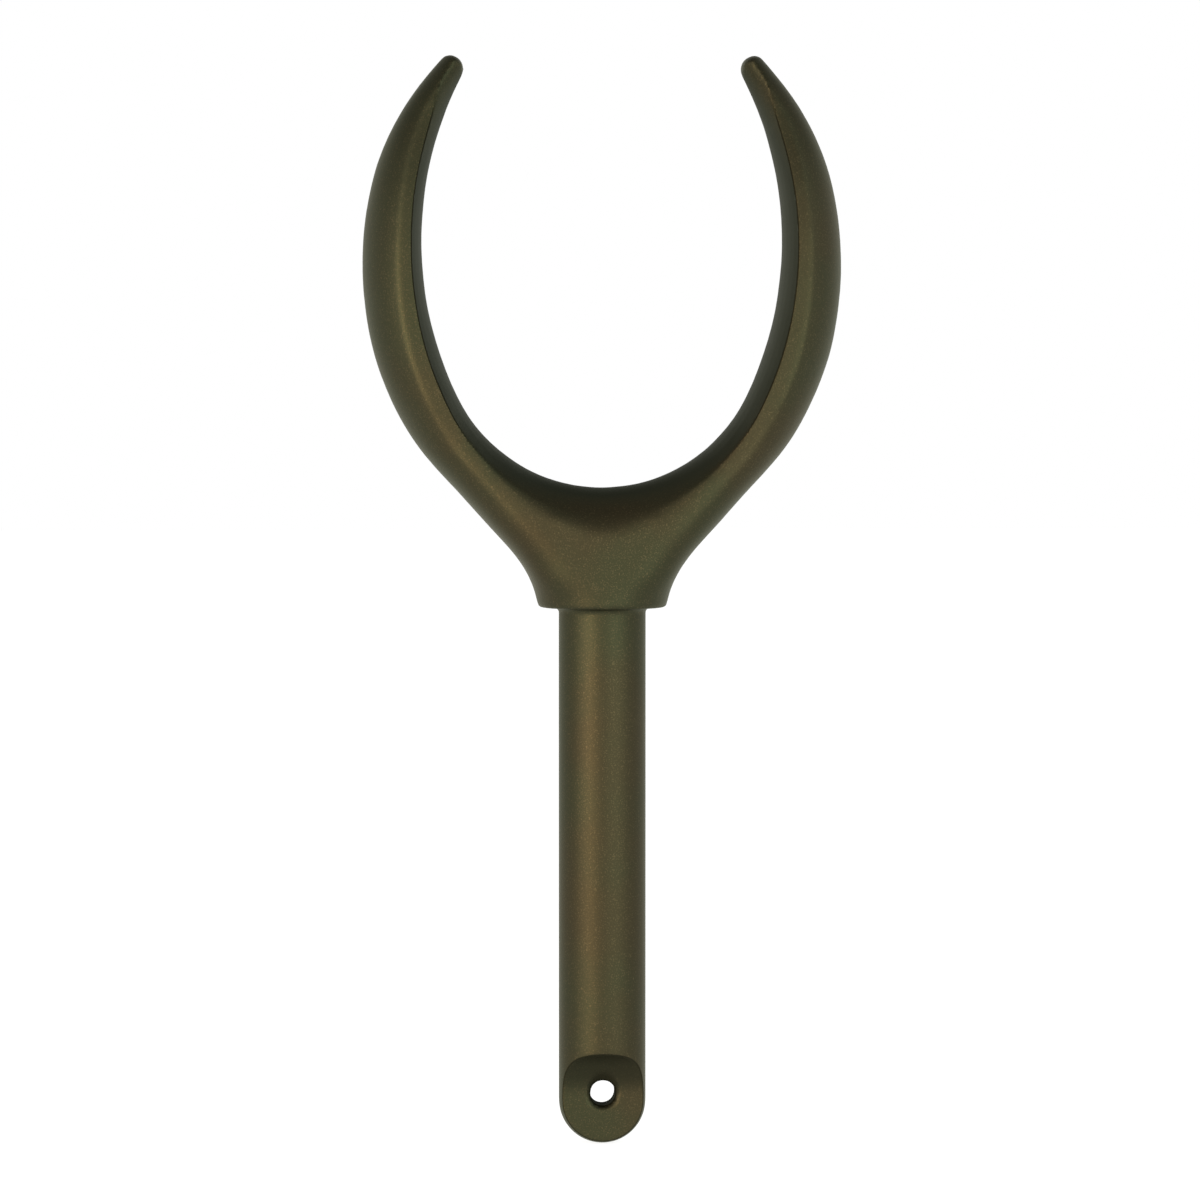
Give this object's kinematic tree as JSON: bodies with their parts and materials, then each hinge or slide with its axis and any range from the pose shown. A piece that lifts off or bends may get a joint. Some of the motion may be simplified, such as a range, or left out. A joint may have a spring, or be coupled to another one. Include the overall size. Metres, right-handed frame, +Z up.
{
  "type": "rowlock",
  "caption": "Open-horn rowlock cast in bronze: two curved horns with rounded tips over a flared neck and collar, on a round shank that ends in a flattened, drilled tang.",
  "frame": {"origin": "on the shank's axis, at the collar's underside that bears on the socket", "axes": "+Z up the shank's axis towards the horns' tips, +X from horn to horn, +Y through the throat, the way an oar lies"},
  "size_m": [0.0868, 0.0232, 0.198],
  "materials": {
    "bronze": "satin"
  },
  "bodies": {
    "root": {"rowlock": "bronze"}
  },
  "joints": []
}
